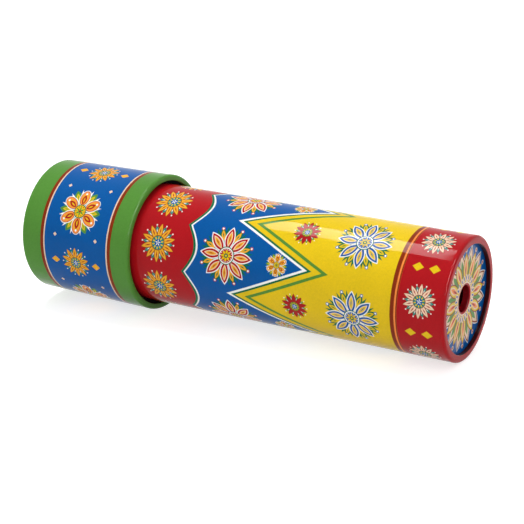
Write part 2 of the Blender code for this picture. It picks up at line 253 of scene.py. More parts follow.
# Tints of the chips
CHIP_TINTS = {
    "chip_red": ink(226, 30, 40),
    "chip_yellow": ink(250, 204, 30),
    "chip_blue": ink(30, 84, 214),
    "chip_green": ink(30, 172, 72),
    "chip_orange": ink(250, 130, 26),
    "chip_purple": ink(146, 48, 178),
}

# Rows of ornaments: the ornament, how many, the angle of one, their station, their size and their colours
BARREL_ROWS = (
    ("Sun wheel", DART_COUNT, FIELD_ANGLE, 94.5, 12.2, {"leaf": RED, "ray": GOLD}),
    ("Sun wheel", DART_COUNT, DART_ANGLE, 38.0, 11.6, {"leaf": BLUE, "ray": YELLOW}),
    ("Spark", DART_COUNT, DART_ANGLE, 63.0, 5.8, {"ray": RED, "heart": GREEN}),
    ("Daisy", DART_COUNT, FIELD_ANGLE, 71.5, 4.8, {"petal": GOLD, "leaf": GREEN}),
    ("Spark", SCALLOP_COUNT, FIELD_ANGLE, 127.0, 8.2, {"ray": GOLD, "heart": TEAL}),
    ("Spark", END_FLOWER_COUNT, END_FLOWER_ANGLE, END_FLOWER_STATION, 6.8, {"ray": CREAM, "heart": TEAL}),
)
CAP_MIDDLE = sum(CAP_BLUE) / 2
CAP_SPARK_ANGLE = CAP_FLOWER_ANGLE + 180 / CAP_FLOWER_COUNT
CAP_ROWS = (
    ("Daisy", CAP_FLOWER_COUNT, CAP_FLOWER_ANGLE, CAP_MIDDLE, 10.4, {"petal": ORANGE, "leaf": GREEN}),
    ("Spark", CAP_FLOWER_COUNT, CAP_SPARK_ANGLE, CAP_MIDDLE, 7.0, {"ray": GOLD, "heart": TEAL}),
)

# Rings round the peephole, the widest first, as margins to its edge: cream and red print, then painted shade
# in its collar
PEEPHOLE_RINGS = ((CREAM, 1.5), (RED, 0.9), (PEEPHOLE_SHADE_INK, PEEPHOLE_LIP / 4))

# Outlines of a petal, as the powers of its length and of its width
OVAL = (2.0, 2.0)
LEAF = (2.0, 1.0)
SPIKE = (1.0, 1.0)


class Flow:
    """A value that varies over a surface. Sums of flows are made of Math nodes."""

    def __init__(self, socket):
        self.socket = socket
        self.tree = socket.id_data

    def __add__(self, other):
        return maths(self.tree, "ADD", self, other)

    def __sub__(self, other):
        return maths(self.tree, "SUBTRACT", self, other)

    def __mul__(self, other):
        return maths(self.tree, "MULTIPLY", self, other)

    def __truediv__(self, other):
        return maths(self.tree, "DIVIDE", self, other)

    def __pow__(self, other):
        return maths(self.tree, "POWER", self, other)

    def __abs__(self):
        return maths(self.tree, "ABSOLUTE", self)


def feed(socket, value):
    """Join a flow to a socket, or set the socket to a plain value."""
    if isinstance(value, Flow):
        socket.id_data.links.new(value.socket, socket)
    else:
        socket.default_value = value


def add_node(tree, kind, inputs=(), **settings):
    """New node with its settings, and its inputs by name."""
    node = tree.nodes.new(kind)
    for setting, value in settings.items():
        setattr(node, setting, value)
    for name, value in dict(inputs).items():
        feed(node.inputs[name], value)
    return node


def maths(tree, operation, *values, clamp=False):
    """Math node of some values."""
    node = add_node(tree, "ShaderNodeMath", operation=operation, use_clamp=clamp)
    for socket, value in zip(node.inputs, values):
        feed(socket, value)
    return Flow(node.outputs[0])


def noise(tree, place, scale, detail=2.0, roughness=0.5):
    """Noise from 0 to 1 over some coordinates."""
    node = add_node(tree, "ShaderNodeTexNoise",
                    {"Vector": place, "Scale": scale, "Detail": detail, "Roughness": roughness})
    return Flow(node.outputs["Factor" if "Factor" in node.outputs else "Fac"])


def stretched(tree, place, along, across):
    """Coordinates scaled along the tube and across it, so that a grain runs one way."""
    node = add_node(tree, "ShaderNodeMapping", {"Vector": place, "Scale": (along, across, across)})
    return Flow(node.outputs["Vector"])


def object_place(tree):
    """Coordinates of the object, in metres."""
    return Flow(add_node(tree, "ShaderNodeTexCoord").outputs["Object"])


def ramp(tree, value, low, high, first=0.0, last=1.0):
    """Straight run from one value to another between two limits."""
    node = add_node(tree, "ShaderNodeMapRange", {"Value": value, "From Min": low, "From Max": high,
                                                 "To Min": first, "To Max": last})
    return Flow(node.outputs["Result"])


def cover(tree, ground, colour, mask):
    """Colour laid over a ground where the mask is 1."""
    node = add_node(tree, "ShaderNodeMix", data_type="RGBA")
    feed(node.inputs[0], mask)
    feed(node.inputs[6], ground)
    feed(node.inputs[7], colour)
    return Flow(node.outputs[2])


def use(tree, name, **inputs):
    """Place a shared group, feed its inputs and give back its outputs in order."""
    node = tree.nodes.new("ShaderNodeGroup")
    node.node_tree = bpy.data.node_groups[name]
    for title, value in inputs.items():
        feed(node.inputs[title.replace("_", " ").capitalize()], value)
    flows = [Flow(socket) for socket in node.outputs]
    return flows[0] if len(flows) == 1 else flows


def start_group(name, inputs, outputs):
    """New shared group with named sockets: a tuple as the usual value makes a colour socket."""
    tree = bpy.data.node_groups.new(name, "ShaderNodeTree")
    for title, usual in inputs.items():
        kind = "NodeSocketColor" if isinstance(usual, tuple) else "NodeSocketFloat"
        tree.interface.new_socket(title, in_out="INPUT", socket_type=kind).default_value = usual
    for title, kind in outputs.items():
        tree.interface.new_socket(title, in_out="OUTPUT", socket_type=kind)
    entry = tree.nodes.new("NodeGroupInput")
    return tree, [Flow(socket) for socket in list(entry.outputs)[:len(inputs)]]


def end_group(tree, **results):
    """Join a group's results to its outputs."""
    node = tree.nodes.new("NodeGroupOutput")
    for title, value in results.items():
        feed(node.inputs[title.replace("_", " ").capitalize()], value)


VALUE = "NodeSocketFloat"
COLOUR = "NodeSocketColor"


def edge_mask(tree, distance):
    """1 where a distance in millimetres is below zero, with a soft edge of printed ink."""
    return maths(tree, "MULTIPLY_ADD", distance, -1 / INK_EDGE, 0.5, clamp=True)


def make_unrolled_tin():
    """Group: place on the tin as it was before it was rolled. The ink wanders a little."""
    tree, _ = start_group("Unrolled tin", {}, {"Around": VALUE, "Along": VALUE})
    place = object_place(tree)
    parts = add_node(tree, "ShaderNodeSeparateXYZ", {"Vector": place})
    x, y, z = [Flow(socket) for socket in parts.outputs]
    wander = noise(tree, place, scale=2600.0, detail=1.0)
    sway = noise(tree, place, scale=340.0, detail=1.0)
    along = maths(tree, "SUBTRACT", EYE_FACE, x) / MM
    along = along + (wander + sway - 1.0) * INK_WANDER
    turn = maths(tree, "ARCTAN2", z - AXIS_HEIGHT, maths(tree, "MULTIPLY", y, -1.0)) / math.tau
    around = turn + (wander - sway) * INK_DRIFT
    end_group(tree, around=around, along=along)


def make_repeat_around():
    """Group: place within one of a row of equal cells round the tube, in millimetres from its middle."""
    tree, (around, along, count, place, station, girth) = start_group(
        "Repeat around",
        {"Around": 0.0, "Along": 0.0, "Count": 8.0, "Place": 0.0, "Station": 0.0, "Girth": 157.0},
        {"Across": VALUE, "Up": VALUE})
    cell = maths(tree, "FRACT", (around - place) * count + 0.5) - 0.5
    end_group(tree, across=cell / count * girth, up=along - station)


def make_petal_ring():
    """Group: ring of equal petals, dots, leaves or diamonds round a middle.

    Tip and side are the powers of the outline: 2 and 2 make ovals, 2 and 1 leaves, and 1 and 1 diamonds.
    """
    tree, (across, up, count, ring, length, width, tip, side, turn) = start_group(
        "Petal ring",
        {"Across": 0.0, "Up": 0.0, "Count": 8.0, "Ring": 4.0, "Length": 2.0, "Width": 1.0,
         "Tip": 2.0, "Side": 2.0, "Turn": 0.0},
        {"Mask": VALUE})
    reach = (across * across + up * up) ** 0.5
    angle = maths(tree, "ARCTAN2", up, across) / math.tau
    cell = (maths(tree, "FRACT", angle * count + turn + 0.5) - 0.5) / count * math.tau
    outward = abs(reach * maths(tree, "COSINE", cell) - ring) / length
    sideways = abs(reach * maths(tree, "SINE", cell)) / width
    swell = outward ** tip + sideways ** side - 1.0
    size = maths(tree, "MINIMUM", length, width)
    end_group(tree, mask=edge_mask(tree, swell * size / (tip + side) * 2.0))


def make_band():
    """Group: stripe of a given width about a station."""
    tree, (along, station, width) = start_group(
        "Band", {"Along": 0.0, "Station": 0.0, "Width": 1.0}, {"Mask": VALUE})
    end_group(tree, mask=edge_mask(tree, abs(along - station) - width * 0.5))


def dots(colour, count, ring, radius, turn=0.0):
    """Ring of round dots."""
    return colour, count, ring, radius, radius, OVAL, turn


def spot(colour, radius):
    """Round spot in the middle."""
    return dots(colour, 1, 0.0, radius)


def ornament(tree, ground, across, up, size, rings):
    """Rings of petals over a ground, the lowest first.

    A ring is its colour, how many petals it has, how far out they are, their half length, half width and
    outline, and its turn as a share of a petal's cell. Its lengths are shares of the size.
    """
    colour = ground
    for shade, count, ring, length, width, (tip, side), turn in rings:
        mask = use(tree, "Petal ring", across=across, up=up, count=float(count), ring=size * ring,
                   length=size * length, width=size * width, tip=tip, side=side, turn=turn)
        colour = cover(tree, colour, shade, mask)
    return colour


def make_sun_wheel():
    """Group: large round ornament with eight broad leaves, a dotted rim and a green heart."""
    tree, (ground, across, up, size, leaf, ray) = start_group(
        "Sun wheel",
        {"Ground": YELLOW, "Across": 0.0, "Up": 0.0, "Size": 10.0, "Leaf": RED, "Ray": GOLD},
        {"Color": COLOUR})
    rings = (
        (DEEP_GREEN, 16, 0.80, 0.20, 0.045, SPIKE, 0.5),
        (DEEP_GREEN, 8, 0.72, 0.27, 0.115, LEAF, 0.5),
        (ray, 8, 0.70, 0.20, 0.070, LEAF, 0.5),
        (DEEP_GREEN, 8, 0.72, 0.10, 0.022, SPIKE, 0.5),
        (WHITE, 8, 0.56, 0.43, 0.185, LEAF, 0.0),
        (leaf, 8, 0.56, 0.38, 0.150, LEAF, 0.0),
        (CREAM, 8, 0.57, 0.27, 0.085, LEAF, 0.0),
        (ray, 8, 0.57, 0.22, 0.060, LEAF, 0.0),
        (leaf, 8, 0.57, 0.13, 0.018, SPIKE, 0.0),
        dots(leaf, 8, 0.955, 0.060, 0.5),
        dots(WHITE, 8, 0.955, 0.036, 0.5),
        spot(DEEP_GREEN, 0.30),
        spot(WHITE, 0.27),
        spot(leaf, 0.235),
        dots(WHITE, 16, 0.205, 0.016),
        (YELLOW, 8, 0.125, 0.062, 0.036, OVAL, 0.0),
        spot(DEEP_GREEN, 0.075),
        spot(YELLOW, 0.035),
    )
    end_group(tree, color=ornament(tree, ground, across, up, size, rings))


def make_daisy():
    """Group: round flower with six wide petals over pointed leaves."""
    tree, (ground, across, up, size, petal, leaf) = start_group(
        "Daisy",
        {"Ground": BLUE, "Across": 0.0, "Up": 0.0, "Size": 8.0, "Petal": ORANGE, "Leaf": GREEN},
        {"Color": COLOUR})
    rings = (
        (WHITE, 12, 0.78, 0.22, 0.050, SPIKE, 0.5),
        (leaf, 6, 0.66, 0.34, 0.17, LEAF, 0.5),
        (YELLOW, 6, 0.64, 0.22, 0.075, LEAF, 0.5),
        (leaf, 6, 0.66, 0.13, 0.022, SPIKE, 0.5),
        (WHITE, 6, 0.59, 0.37, 0.255, OVAL, 0.0),
        (RUST, 6, 0.595, 0.335, 0.222, OVAL, 0.0),
        (petal, 6, 0.60, 0.31, 0.200, OVAL, 0.0),
        (GOLD, 6, 0.57, 0.25, 0.140, OVAL, 0.0),
        (RED, 6, 0.52, 0.22, 0.105, LEAF, 0.0),
        (YELLOW, 6, 0.50, 0.12, 0.030, LEAF, 0.0),
        dots(WHITE, 6, 0.79, 0.045),
        spot(DEEP_GREEN, 0.29),
        spot(YELLOW, 0.255),
        dots(RED, 12, 0.205, 0.026),
        (leaf, 6, 0.10, 0.075, 0.035, OVAL, 0.0),
        spot(RED, 0.045),
    )
    end_group(tree, color=ornament(tree, ground, across, up, size, rings))


def make_spark():
    """Group: small star of ten rays with a dotted rim."""
    tree, (ground, across, up, size, ray, heart) = start_group(
        "Spark",
        {"Ground": RED, "Across": 0.0, "Up": 0.0, "Size": 5.0, "Ray": GOLD, "Heart": TEAL},
        {"Color": COLOUR})
    rings = (
        (CREAM, 20, 0.72, 0.22, 0.045, SPIKE, 0.0),
        (heart, 10, 0.54, 0.34, 0.14, LEAF, 0.5),
        (WHITE, 10, 0.56, 0.20, 0.035, SPIKE, 0.5),
        (RUST, 10, 0.54, 0.46, 0.165, LEAF, 0.0),
        (ray, 10, 0.54, 0.44, 0.125, LEAF, 0.0),
        (RED, 10, 0.60, 0.20, 0.032, SPIKE, 0.0),
        dots(WHITE, 10, 0.93, 0.040, 0.5),
        spot(RUST, 0.38),
        spot(heart, 0.345),
        (YELLOW, 10, 0.245, 0.085, 0.035, OVAL, 0.0),
        spot(BLUE, 0.19),
        (WHITE, 5, 0.090, 0.065, 0.022, OVAL, 0.0),
    )
    end_group(tree, color=ornament(tree, ground, across, up, size, rings))


def make_print_grain():
    """Group: mottled ink, a little lighter and darker over the tin."""
    tree, (colour, amount) = start_group("Print grain", {"Color": WHITE, "Amount": 0.06}, {"Color": COLOUR})
    place = object_place(tree)
    fine = noise(tree, place, scale=1500.0, detail=3.0, roughness=0.6)
    broad = noise(tree, place, scale=70.0, detail=2.0)
    shade = (fine + broad * 0.5 - 0.75) * amount + 1.0
    joined = add_node(tree, "ShaderNodeVectorMath", {0: colour}, operation="SCALE")
    feed(joined.inputs["Scale"], shade)
    end_group(tree, color=Flow(joined.outputs[0]))


def make_lacquer_skin():
    """Group: slow waves of rolled tin, the orange peel of its lacquer, and smudges on it."""
    tree, _ = start_group("Lacquer skin", {}, {"Height": VALUE, "Smudge": VALUE})
    place = object_place(tree)
    waves = noise(tree, stretched(tree, place, along=18.0, across=60.0), scale=1.0, detail=1.0)
    peel = noise(tree, place, scale=620.0, detail=2.0)
    smudge = noise(tree, place, scale=75.0, detail=4.0, roughness=0.6)
    end_group(tree, height=waves + peel * 0.035, smudge=smudge)


def make_rubbed_edge():
    """Group: specks where print has rubbed off along a rim at a station."""
    tree, (along, station, width, amount) = start_group(
        "Rubbed edge", {"Along": 0.0, "Station": 0.0, "Width": 0.4, "Amount": 0.4}, {"Mask": VALUE})
    place = object_place(tree)
    near = ramp(tree, abs(along - station), 0.0, width, 1.0, 0.0)
    specks = noise(tree, place, scale=900.0, detail=3.0, roughness=0.65)
    end_group(tree, mask=ramp(tree, near * amount + specks, 0.92, 1.0))


def make_rolling_grain():
    """Group: fine lines that the rolls leave in bare metal, and its tone."""
    tree, _ = start_group("Rolling grain", {}, {"Height": VALUE, "Tone": VALUE})
    place = object_place(tree)
    lines = noise(tree, stretched(tree, place, along=120.0, across=5200.0), scale=1.0, detail=3.0)
    tone = noise(tree, place, scale=90.0, detail=3.0)
    end_group(tree, height=lines, tone=lines * 0.4 + tone * 0.6)


def make_moulded_skin():
    """Group: faint flow marks and fine pits of moulded plastic."""
    tree, _ = start_group("Moulded skin", {}, {"Height": VALUE, "Tone": VALUE})
    place = object_place(tree)
    pits = noise(tree, place, scale=2100.0, detail=2.0)
    flow_marks = noise(tree, place, scale=110.0, detail=2.0)
    end_group(tree, height=pits * 0.3 + flow_marks, tone=flow_marks)


def make_card_fibre():
    """Group: fibres and flecks of grey card."""
    tree, _ = start_group("Card fibre", {}, {"Height": VALUE, "Fleck": VALUE})
    place = object_place(tree)
    grain = stretched(tree, place, along=500.0, across=1900.0)
    fibres = noise(tree, grain, scale=1.0, detail=4.0, roughness=0.65)
    flecks = noise(tree, place, scale=1500.0, detail=2.0)
    end_group(tree, height=fibres, fleck=fibres * 0.5 + flecks * 0.5)


def start_material(name, roughness, metallic=0.0, ior=1.5, clarity=0.0):
    """New material with a plain Principled shader. Clarity is how much light it lets through."""
    material = bpy.data.materials.new(name)
    material.use_nodes = True
    shader = material.node_tree.nodes["Principled BSDF"]
    settings = {"Roughness": roughness, "Metallic": metallic, "IOR": ior, "Transmission Weight": clarity}
    for title, value in settings.items():
        feed(shader.inputs[title], value)
    return material, material.node_tree, shader


def add_bump(tree, shader, height, depth):
    """Raise a shader's surface by a height, whose full range is the depth in millimetres."""
    bump = add_node(tree, "ShaderNodeBump", {"Height": height, "Distance": depth * MM, "Strength": 1.0})
    feed(shader.inputs["Normal"], Flow(bump.outputs["Normal"]))


def band(tree, ground, colour, along, first, last):
    """Plain stripe of a colour from one station to another."""
    mask = use(tree, "Band", along=along, station=(first + last) / 2, width=last - first)
    return cover(tree, ground, colour, mask)


def stripe(tree, ground, colour, along, station, width):
    """Thin line of a colour at a station."""
    return band(tree, ground, colour, along, station - width / 2, station + width / 2)


def row(tree, around, along, count, degrees, station, radius):
    """Places in a row of equal cells round the tube, with the middle of one at an angle."""
    return use(tree, "Repeat around", around=around, along=along, count=float(count),
               place=degrees / 360, station=station, girth=math.tau * radius)


def ornament_rows(tree, ground, around, along, radius, rows):
    """Rows of the shared ornaments over a ground, the lowest first."""
    for group, count, degrees, station, size, colours in rows:
        across, up = row(tree, around, along, count, degrees, station, radius)
        ground = use(tree, group, ground=ground, across=across, up=up, size=size, **colours)
    return ground


def diamonds(tree, ground, colour, cell, length, width):
    """A diamond in each cell of a row, with its length along the tube."""
    across, up = cell
    return ornament(tree, ground, across, up, 1.0, [(colour, 1, 0.0, width, length, SPIKE, 0.0)])


def tooth_line(cell, pitch, depth):
    """Distance past a saw-toothed line whose teeth point towards the cap."""
    across, up = cell
    slope = depth / (pitch / 2)
    return (up + abs(across) * slope - depth) / math.hypot(1, slope)


def scallop_line(tree, cell, pitch, depth):
    """Distance past a scalloped line whose rounds point towards the eyepiece."""
    across, up = cell
    swing = maths(tree, "COSINE", across * (math.pi / pitch))
    return up + swing * depth


def edged_field(tree, ground, past, field, green_edge, white_edge):
    """Field behind a line, with a green and a white edge in front of it."""
    for colour, offset in ((WHITE, white_edge), (DEEP_GREEN, green_edge), (field, 0.0)):
        ground = cover(tree, ground, colour, edge_mask(tree, past - offset))
    return ground


def place_across(tree):
    """Place beside and above the tube's axis, and its distance from the axis."""
    parts = add_node(tree, "ShaderNodeSeparateXYZ", {"Vector": object_place(tree)})
    across = Flow(parts.outputs["Y"]) / MM
    up = (Flow(parts.outputs["Z"]) - AXIS_HEIGHT) / MM
    return across, up, (across * across + up * up) ** 0.5


def barrel_print_and_shade(tree, around, along):
    """Print of the barrel: red rim, yellow darts, blue field with wheels, red scallops by the cap, and
    painted shade in the lip.
    """
    girth = math.tau * BARREL_RADIUS
    darts = row(tree, around, along, DART_COUNT, DART_ANGLE, DART_BASE, BARREL_RADIUS)
    past = tooth_line(darts, girth / DART_COUNT, DART_LENGTH)
    colour = edged_field(tree, BLUE, past, YELLOW, DART_GREEN_EDGE, DART_WHITE_EDGE)
    offset, half_width = DART_INNER_LINE
    colour = cover(tree, colour, GREEN, edge_mask(tree, abs(past + offset) - half_width))
    scallops = row(tree, around, along, SCALLOP_COUNT, FIELD_ANGLE, SCALLOP_STATION, BARREL_RADIUS)
    short = scallop_line(tree, scallops, girth / SCALLOP_COUNT, SCALLOP_DEPTH) * -1.0
    colour = edged_field(tree, colour, short, RED, SCALLOP_GREEN_EDGE, SCALLOP_WHITE_EDGE)
    colour = band(tree, colour, RUST, along, *RUST_BAND)
    colour = band(tree, colour, RED, along, *RED_BAND)
    colour = stripe(tree, colour, ORANGE, along, *PINSTRIPE)
    colour = ornament_rows(tree, colour, around, along, BARREL_RADIUS, BARREL_ROWS)
    between = END_FLOWER_ANGLE + 180 / END_FLOWER_COUNT
    for offset in (-END_DIAMOND_OFFSET, END_DIAMOND_OFFSET):
        cell = row(tree, around, along, END_FLOWER_COUNT, between, END_FLOWER_STATION + offset, BARREL_RADIUS)
        colour = diamonds(tree, colour, YELLOW, cell, *END_DIAMOND)
    # Painted shade: the inner wall of the eyepiece rim's lip is inked dark where shade falls
    reach = place_across(tree)[2]
    lip = BARREL_RADIUS - EYE_RIM_WIDTH + LIP_ROUND / 2
    return cover(tree, colour, LIP_SHADE_INK, edge_mask(tree, reach - lip))


def cap_print(tree, around, along):
    """Print of the cap: green rims, pinstripes, and daisies with diamonds on a blue band."""
    radius = (CAP_MOUTH_RADIUS + CAP_END_RADIUS) / 2
    colour = band(tree, GREEN, BLUE, along, *CAP_BLUE)
    for (station, width), line in zip(CAP_LINES, (RUST, CREAM, CREAM, RUST)):
        colour = stripe(tree, colour, line, along, station, width)
    colour = ornament_rows(tree, colour, around, along, radius, CAP_ROWS)
    speck_angle = CAP_FLOWER_ANGLE + 90 / CAP_FLOWER_COUNT
    for offset in (-CAP_DIAMOND_OFFSET, CAP_DIAMOND_OFFSET):
        station = CAP_MIDDLE + offset
        cell = row(tree, around, along, CAP_FLOWER_COUNT, CAP_SPARK_ANGLE, station, radius)
        colour = diamonds(tree, colour, GOLD, cell, *CAP_DIAMOND)
        cell = row(tree, around, along, 2 * CAP_FLOWER_COUNT, speck_angle, station, radius)
        colour = diamonds(tree, colour, CREAM, cell, *CAP_SPECK)
    return colour


def disc_print_and_shade(tree, *_):
    """Print of the eyepiece: a sunburst round the peephole, and painted shade inside its collar. It needs no
    place along the tin.
    """
    across, up, reach = place_across(tree)
    rings = (
        (WHITE, 12, 13.4, 7.6, 3.1, LEAF, 0.5),
        (RUST, 12, 13.4, 7.1, 2.7, LEAF, 0.5),
        (CREAM, 12, 13.2, 6.4, 2.1, LEAF, 0.5),
        (GREEN, 12, 12.8, 4.2, 1.2, LEAF, 0.5),
        (RUST, 12, 12.4, 6.5, 2.6, LEAF, 0.0),
        (YELLOW, 12, 12.4, 6.0, 2.1, LEAF, 0.0),
        (CREAM, 12, 13.0, 4.0, 1.4, LEAF, 0.0),
        (ORANGE, 12, 12.6, 3.3, 0.9, LEAF, 0.0),
        (RED, 12, 11.0, 2.4, 0.4, LEAF, 0.0),
        dots(CREAM, 12, 19.6, 0.9),
        dots(RED, 12, 19.6, 0.45),
        (CREAM, 24, 8.3, 1.4, 0.8, OVAL, 0.5),
        (BLUE, 24, 8.3, 0.9, 0.4, OVAL, 0.5),
    )
    colour = ornament(tree, BLUE, across, up, 1.0, rings)
    # The last ring is painted shade: dark red on the inner wall of the peephole's collar
    for shade, margin in PEEPHOLE_RINGS:
        colour = cover(tree, colour, shade, edge_mask(tree, reach - PEEPHOLE_RADIUS - margin))
    return colour


def printed_tin(name, draw, rims=()):
    """Printed and lacquered tin. Rims are the stations where its print has rubbed a little."""
    material, tree, shader = start_material(name, roughness=0.1, ior=LACQUER_IOR)
    around, along = use(tree, "Unrolled tin")
    colour = use(tree, "Print grain", color=draw(tree, around, along), amount=GRAIN_AMOUNT)
    rubbed = 0.0
    for station in rims:
        mask = use(tree, "Rubbed edge", along=along, station=station, width=RUB_WIDTH, amount=RUB_AMOUNT)
        rubbed = maths(tree, "MAXIMUM", rubbed, mask)
    height, smudge = use(tree, "Lacquer skin")
    gloss = ramp(tree, smudge, 0.3, 0.8, *LACQUER_ROUGHNESS)
    feed(shader.inputs["Base Color"], cover(tree, colour, BARE_TIN, rubbed))
    feed(shader.inputs["Metallic"], rubbed)
    feed(shader.inputs["Roughness"], gloss + rubbed * RUB_ROUGHNESS)
    add_bump(tree, shader, height, LACQUER_WAVE)
    return material


def toned(name, skin, colours, roughness, spread, depth=0.0, span=(0.2, 0.8), **settings):
    """Finish whose colour and roughness follow the tone of a shared skin.

    The spread is added to the roughness at the ends of the span of tone. The depth is of the skin's relief.
    """
    material, tree, shader = start_material(name, roughness, **settings)
    height, tone = use(tree, skin)
    limits = [roughness + step for step in spread]
    feed(shader.inputs["Base Color"], cover(tree, *colours, tone))
    feed(shader.inputs["Roughness"], ramp(tree, tone, *span, *limits))
    if depth:
        add_bump(tree, shader, height, depth)
    return material


def bare_metal(name, colour, roughness):
    """Unpainted sheet or wire with the fine lines of its rolls."""
    return toned(name, "Rolling grain", (tinted(colour, 0.72), colour), roughness, (0.08, -0.05),
                 depth=0.01, metallic=1.0)


def clear_plastic(name, colour, roughness, clarity, wave):
    """See-through or frosted plastic."""
    spread = (-0.2 * roughness, 0.2 * roughness)
    return toned(name, "Moulded skin", (colour, tinted(colour, 1.12)), roughness, spread,
                 depth=wave, ior=1.49, clarity=clarity)


def moulded_plastic(name, colour, roughness, ior=1.46):
    """Solid coloured plastic with a fine moulded skin."""
    return toned(name, "Moulded skin", (colour, tinted(colour, 1.5, lift=0.004)), roughness,
                 (-0.08, 0.08), depth=0.03, ior=ior)


def grey_card():
    """Unprinted grey card with fibres and flecks."""
    return toned("grey_card_finish", "Card fibre", (ink(128, 118, 104), ink(186, 176, 158)), 0.9,
                 (-0.05, 0.07), depth=0.08)


def mirror_silver():
    """Bright face of a mirror strip, with faint dust on it."""
    return toned("mirror_silver", "Moulded skin", (ink(228, 230, 230), ink(246, 247, 247)), 0.02,
                 (-0.008, 0.04), span=(0.55, 0.9), metallic=1.0)


def make_shared_groups():
    """Every shared group, those that others use first."""
    for make in (make_unrolled_tin, make_repeat_around, make_petal_ring, make_band, make_sun_wheel,
                 make_daisy, make_spark, make_print_grain, make_lacquer_skin, make_rubbed_edge,
                 make_rolling_grain, make_moulded_skin, make_card_fibre):
        make()


def arc(station, radius, size, start, end, steps=ARC_STEPS):
    """Points of an arc. Angle 0 points away from the axis, and 90 degrees towards the eyepiece."""
    points = []
    for step in range(steps + 1):
        angle = math.radians(start + (end - start) * step / steps)
        points.append((station - size * math.sin(angle), radius + size * math.cos(angle)))
    return points


def rolled_rim(wall, width, depth, edge):
    """Outer and inner skin of a rim that turns in to a lip, from the wall to the lip. Its face is at 0."""
    lip = wall - width
    outer = arc(edge, wall - edge, edge, 0, 90) + arc(LIP_ROUND, lip + LIP_ROUND, LIP_ROUND, 90, 180)
    inner = arc(edge, wall - edge, edge - TIN, 0, 90)
    inner += arc(LIP_ROUND, lip + LIP_ROUND, LIP_ROUND - TIN, 90, 180)
    return outer + [(depth, lip)], inner + [(depth, lip + TIN)]


def with_loops(run):
    """A run with loops added close to its corners and along its long stretches, so that it shades true."""
    points = [run[0]]
    for first, second in zip(run, run[1:]):
        length = math.dist(first, second)
        if length > 6 * EDGE_LOOP:
            inner = length - 2 * EDGE_LOOP
            count = max(1, math.ceil(inner / LOOP_STEP))
            for step in range(count + 1):
                share = (EDGE_LOOP + inner * step / count) / length
                points.append(tuple(a + (b - a) * share for a, b in zip(first, second)))
        points.append(second)
    return points


def turn_angles(seam, radius):
    """Angles of the loops round a turned piece, with close pairs at the edges of its seam."""
    step = math.tau / TURN_STEPS
    angles = [step * index for index in range(TURN_STEPS)]
    if seam is None:
        return angles
    middle = math.radians(seam)
    edges = [side * (SEAM_WIDTH / 2 + extra) / radius for side in (-1, 1) for extra in (0, SEAM_STEP)]
    places = [middle + edge for edge in edges]
    clear = [angle for angle in angles if min(abs(angle - place) for place in places) > step / 3]
    return sorted(clear + places)


def seam_sink(seam, limits, station, radius, angle):
    """How far the tin lies below its round at a folded seam."""
    if seam is None or not limits[0] < station < limits[1]:
        return 0.0
    across = abs(angle - math.radians(seam)) * radius
    if across > SEAM_WIDTH / 2 + SEAM_STEP / 2:
        return 0.0
    from_end = min(station - limits[0], limits[1] - station)
    return SEAM_DEPTH * min(1.0, from_end / SEAM_FADE)


def middle_of(node):
    """Middle of a node's box."""
    low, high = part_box(node)
    return (Vector(low) + Vector(high)) / 2


def mesh_point(station, radius, angle):
    """Place in the frame of a station, a radius and an angle."""
    return Vector((EYE_FACE - station * MM, -math.cos(angle) * radius * MM,
                   AXIS_HEIGHT + math.sin(angle) * radius * MM))


def new_object(name, data):
    """Object in the scene that shows some data."""
    made = bpy.data.objects.new(name, data)
    bpy.context.collection.objects.link(made)
    return made


def add_piece(name, bm, materials, body, slot, nodes):
    """Make a piece of a mesh. It rides on its body and stands for its CAD nodes."""
    bmesh.ops.recalc_face_normals(bm, faces=bm.faces)
    mesh = bpy.data.meshes.new(name)
    bm.to_mesh(mesh)
    bm.free()
    for material in materials:
        mesh.materials.append(material)
    mesh.shade_smooth()
    mesh.set_sharp_from_angle(angle=SHARP_ANGLE)
    piece = new_object(name, mesh)
    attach(piece, body)
    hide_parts(*nodes)
    return piece


def turn(name, runs, body, slot, node, seam=None, limits=(0, 0)):
    """Turned piece. Each run is a material and the points of a stretch of the outline."""
    points, finishes = [], []
    for index, (material, run) in enumerate(runs):
        for point in with_loops(run)[:-1]:
            points.append(point)
            finishes.append(index)
    first_run = runs[0][1]
    hollow = first_run[0][1] > 0
    if not hollow:
        points.append(runs[-1][1][-1])
    angles = turn_angles(seam, max(radius for station, radius in points))
    bm = bmesh.new()
    rows = []
    for station, radius in points:
        places = [(radius - seam_sink(seam, limits, station, radius, angle), angle)
                  for angle in (angles if radius > 0 else [0.0])]
        rows.append([bm.verts.new(mesh_point(station, sunk, angle)) for sunk, angle in places])
    pairs = list(zip(rows, rows[1:]))
    if hollow:
        pairs.append((rows[-1], rows[0]))
    for finish, (near, far) in zip(finishes, pairs):
        for step in range(len(angles)):
            after = (step + 1) % len(angles)
            corners = (near[step % len(near)], near[after % len(near)],
                       far[after % len(far)], far[step % len(far)])
            bm.faces.new(dict.fromkeys(corners)).material_index = finish
    return add_piece(name, bm, [material for material, run in runs], body, slot, [node])


def disc(name, node, material, body, slot):
    """Round pane with softened edges."""
    near, far = stations(node)
    rim = outer_radius(node) - PANE_ROUND
    outline = [(near, 0), *reversed(arc(near + PANE_ROUND, rim, PANE_ROUND, 0, 90)),
               *arc(far - PANE_ROUND, rim, PANE_ROUND, 0, -90), (far, 0)]
    turn(name, [(material, outline)], body, slot, node)


def ring_section(node, width, edge, steps):
    """Section of a ring with rounded edges."""
    near, far = stations(node)
    radius = outer_radius(node)
    inner = radius - width
    return [*arc(near + edge, inner + edge, edge, 180, 90, steps),
            *arc(near + edge, radius - edge, edge, 90, 0, steps),
            *arc(far - edge, radius - edge, edge, 0, -90, steps),
            *arc(far - edge, inner + edge, edge, -90, -180, steps)]


def plain_ring(name, node, width, material, body, slot):
    """Ring with rounded edges."""
    section = ring_section(node, width, RING_ROUND, ARC_STEPS)
    turn(name, [(material, section + section[:1])], body, slot, node)


